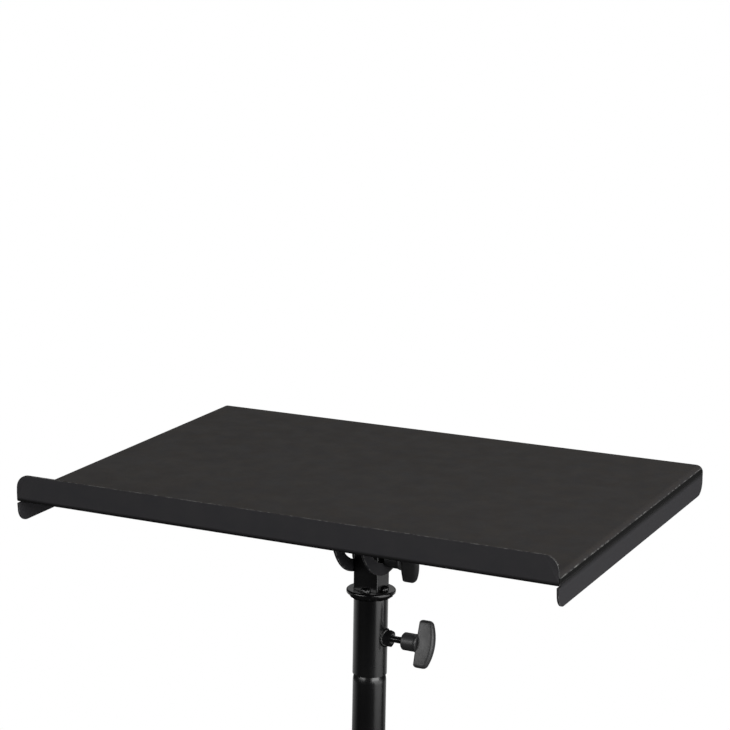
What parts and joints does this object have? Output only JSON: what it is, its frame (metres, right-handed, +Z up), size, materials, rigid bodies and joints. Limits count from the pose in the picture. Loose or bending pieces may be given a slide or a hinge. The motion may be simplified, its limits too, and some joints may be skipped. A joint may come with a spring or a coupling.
{
  "type": "tripod laptop stand",
  "caption": "Folding tripod stand with a telescoping mast and a tilting sheet-metal tray that has a front lip, held by T-knob clamps.",
  "frame": {"origin": "on the floor, on the mast's axis", "axes": "+X to the user's right, +Y away from the user, +Z up along the mast"},
  "size_m": [0.551, 0.4802, 0.8172],
  "materials": {
    "tray_coat": "satin black powder coat",
    "tube_coat": "semi-gloss black powder coat",
    "black_fastener": "black zinc",
    "pin_steel": "zinc plated",
    "knob_plastic": "fine matt texture",
    "collar_plastic": "fine matt texture",
    "foot_rubber": "matt"
  },
  "bodies": {
    "base": {"brace_back_a": "tube_coat", "brace_back_b": "tube_coat", "brace_front_left_a": "tube_coat", "brace_front_left_b": "tube_coat", "brace_front_right_a": "tube_coat", "brace_front_right_b": "tube_coat", "brace_hub": "collar_plastic", "brace_pin_back": "pin_steel", "brace_pin_front_left": "pin_steel", "brace_pin_front_right": "pin_steel", "foot_back": "foot_rubber", "foot_front_left": "foot_rubber", "foot_front_right": "foot_rubber", "height_collar": "collar_plastic", "height_knob": "knob_plastic", "height_stud": "black_fastener", "hub_pin_back": "pin_steel", "hub_pin_front_left": "pin_steel", "hub_pin_front_right": "pin_steel", "leg_back": "tube_coat", "leg_collar": "collar_plastic", "leg_front_left": "tube_coat", "leg_front_right": "tube_coat", "leg_knob": "knob_plastic", "leg_pin_back": "pin_steel", "leg_pin_front_left": "pin_steel", "leg_pin_front_right": "pin_steel", "leg_stud": "black_fastener", "lower_mast": "tube_coat", "mast_plug": "collar_plastic"},
    "upper_mast": {"upper_mast": "tube_coat", "mast_bushing": "collar_plastic"},
    "head": {"head_block": "tube_coat", "head_ring": "tube_coat", "head_socket": "tube_coat", "weld_nut": "black_fastener", "pivot_bolt": "black_fastener", "pivot_nut": "black_fastener", "tilt_bolt": "black_fastener"},
    "tray": {"tray": "tray_coat", "tilt_bracket": "tray_coat"},
    "tilt_knob": {"tilt_knob": "knob_plastic"},
    "socket_knob": {"socket_knob": "knob_plastic", "socket_stud": "black_fastener"}
  },
  "joints": [
    {"name": "mast_height", "type": "slide", "parent": "base", "child": "upper_mast", "axis": [0, 0, 1], "range_m": [-0.1, 0.23]},
    {"name": "head_swivel", "type": "hinge", "parent": "upper_mast", "child": "head", "pos_m": [0, 0, 0.69], "axis": [0, 0, 1], "continuous": true},
    {"name": "tray_tilt", "type": "hinge", "parent": "head", "child": "tray", "pos_m": [0, 0, 0.78], "axis": [1, 0, 0], "range_deg": [-47.65, 42.35]},
    {"name": "tilt_knob_turn", "type": "hinge", "parent": "head", "child": "tilt_knob", "pos_m": [0.02, 0, 0.7508], "axis": [1, 0, 0], "continuous": true},
    {"name": "socket_knob_turn", "type": "hinge", "parent": "head", "child": "socket_knob", "pos_m": [0.03, 0, 0.691], "axis": [1, 0, 0], "continuous": true}
  ]
}
